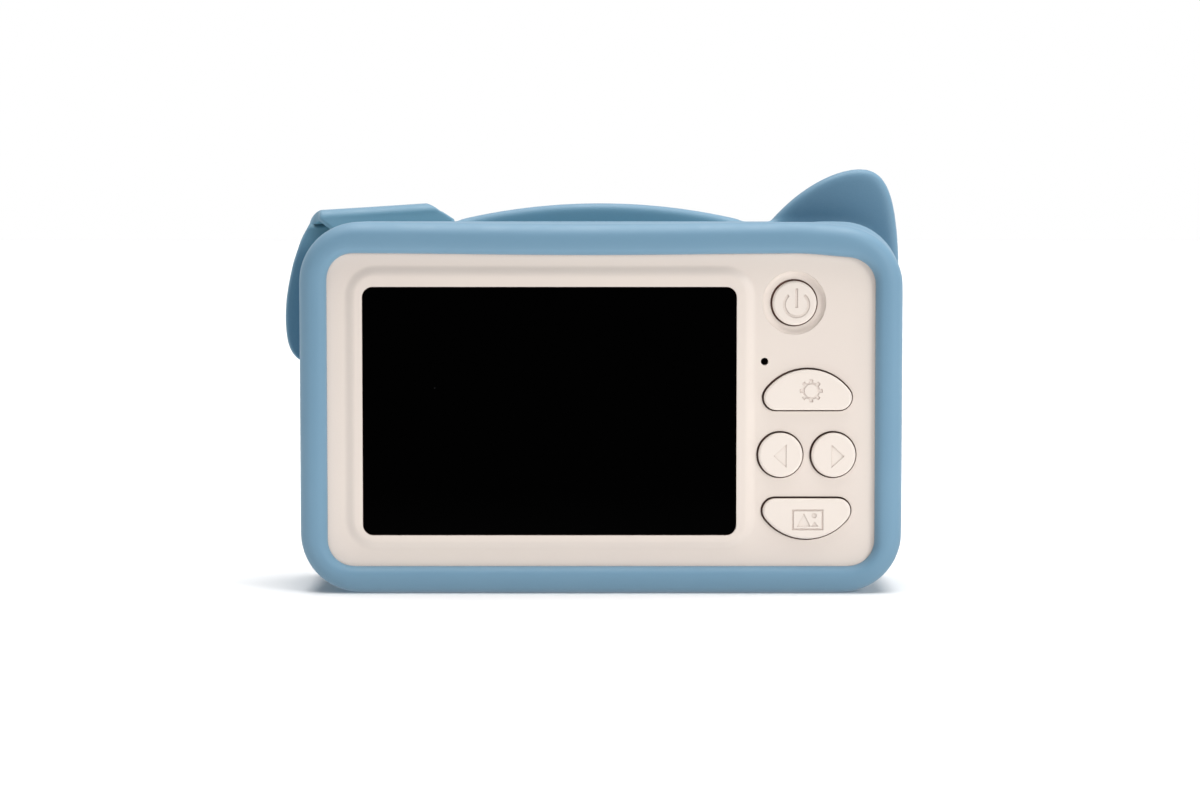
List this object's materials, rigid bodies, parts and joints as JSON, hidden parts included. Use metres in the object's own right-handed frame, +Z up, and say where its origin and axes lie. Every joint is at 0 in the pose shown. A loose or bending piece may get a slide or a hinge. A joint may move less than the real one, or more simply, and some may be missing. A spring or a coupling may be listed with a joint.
{
  "type": "kids digital camera",
  "caption": "Compact kids digital camera with a rear screen, round and arched keys, and a silicone sleeve with animal ears, one upright and one folded over.",
  "frame": {"origin": "middle of the flat base the camera stands on, level with the middle of the sleeve", "axes": "+X to the right as the user sees the screen, +Y from the screen towards the lens, +Z up"},
  "size_m": [0.1078, 0.034, 0.0712],
  "materials": {
    "silicone": "matte slate blue silicone",
    "inlay_dark": "matte dark",
    "shell": "matte warm off-white",
    "key_shell": "satin warm off-white",
    "screen_black": "polished black window",
    "adhesive": "black foam tape",
    "panel_dark": "dark display glass",
    "backlight": "diffuser film",
    "bezel_steel": "pressed steel",
    "ribbon": "amber polyimide",
    "board_green": "solder mask",
    "chip_black": "moulded package",
    "component_tan": "ceramic and nylon",
    "screw_steel": "zinc plated",
    "switch_metal": "pressed steel",
    "plunger_black": "nylon",
    "spring_steel": "drawn wire",
    "cell_foil": "foil pouch",
    "wire_red": "wire sleeve",
    "wire_black": "wire sleeve",
    "boot_rubber": "soft moulded",
    "magnet_steel": "nickel plated",
    "mic_mesh": "dark felt over the capsule",
    "port_steel": "pressed steel",
    "card_black": "moulded card",
    "bar_steel": "polished rod",
    "sensor_glass": "sensor cover glass",
    "lens_black": "matte black",
    "lens_glass": "coated glass",
    "window_smoke": "smoked acrylic",
    "ring_trim": "satin trim ring",
    "led_yellow": "phosphor",
    "flash_diffuser": "frosted acrylic"
  },
  "bodies": {
    "camera": {"silicone_sleeve": "silicone", "face_inlays": "inlay_dark", "rear_cover": "shell", "front_cover": "shell", "cover_screws": "screw_steel", "screen_window": "screen_black", "window_adhesive": "adhesive", "lcd_panel": "panel_dark", "lcd_backlight": "backlight", "lcd_frame": "bezel_steel", "lcd_ribbon": "ribbon", "key_switches": "switch_metal", "shutter_spring": "spring_steel", "shutter_switch": "switch_metal", "shutter_board": "board_green", "main_board": "board_green", "processor_chip": "chip_black", "memory_chip": "chip_black", "board_components": "component_tan", "board_screws": "screw_steel", "battery_cell": "cell_foil", "battery_lead_red": "wire_red", "battery_lead_black": "wire_black", "microphone": "mic_mesh", "microphone_boot": "boot_rubber", "speaker_frame": "lens_black", "speaker_magnet": "magnet_steel", "speaker_gasket": "boot_rubber", "speaker_leads": "wire_black", "usb_shell": "port_steel", "usb_tongue": "plunger_black", "card_slot": "port_steel", "strap_bar": "bar_steel", "sensor_board": "board_green", "image_sensor": "sensor_glass", "lens_holder": "lens_black", "lens_barrel": "lens_black", "lens_elements": "lens_glass", "camera_screws": "screw_steel", "camera_ribbon": "ribbon", "lens_baffle": "lens_black", "lens_window": "window_smoke", "lens_ring": "ring_trim", "flash_led": "led_yellow", "flash_lens": "flash_diffuser"},
    "power_key": {"power_button": "key_shell", "power_plunger": "plunger_black"},
    "menu_key": {"menu_button": "key_shell", "menu_plunger": "plunger_black"},
    "previous_key": {"previous_button": "key_shell", "previous_plunger": "plunger_black"},
    "next_key": {"next_button": "key_shell", "next_plunger": "plunger_black"},
    "album_key": {"album_button": "key_shell", "album_plunger": "plunger_black"},
    "shutter_key": {"shutter_button": "key_shell", "shutter_plunger": "plunger_black"},
    "card": {"memory_card": "card_black"},
    "folded_ear": {"ear_flap": "silicone"}
  },
  "joints": [
    {"name": "power_press", "type": "slide", "parent": "camera", "child": "power_key", "axis": [0, 1, 0], "range_m": [0, 0.0005]},
    {"name": "menu_press", "type": "slide", "parent": "camera", "child": "menu_key", "axis": [0, 1, 0], "range_m": [0, 0.0005]},
    {"name": "previous_press", "type": "slide", "parent": "camera", "child": "previous_key", "axis": [0, 1, 0], "range_m": [0, 0.0005]},
    {"name": "next_press", "type": "slide", "parent": "camera", "child": "next_key", "axis": [0, 1, 0], "range_m": [0, 0.0005]},
    {"name": "album_press", "type": "slide", "parent": "camera", "child": "album_key", "axis": [0, 1, 0], "range_m": [0, 0.0005]},
    {"name": "shutter_press", "type": "slide", "parent": "camera", "child": "shutter_key", "axis": [0, 0, -1], "range_m": [0, 0.0008], "deforming": ["shutter_spring"]},
    {"name": "card_push_and_draw", "type": "slide", "parent": "camera", "child": "card", "axis": [-1, 0, 0], "range_m": [-0.0008, 0.012]},
    {"name": "folded_ear_lift", "type": "hinge", "parent": "camera", "child": "folded_ear", "pos_m": [-0.0484, 0.0142, 0.0615], "axis": [0.9981, 0, 0.061], "range_deg": [0, 70]}
  ]
}
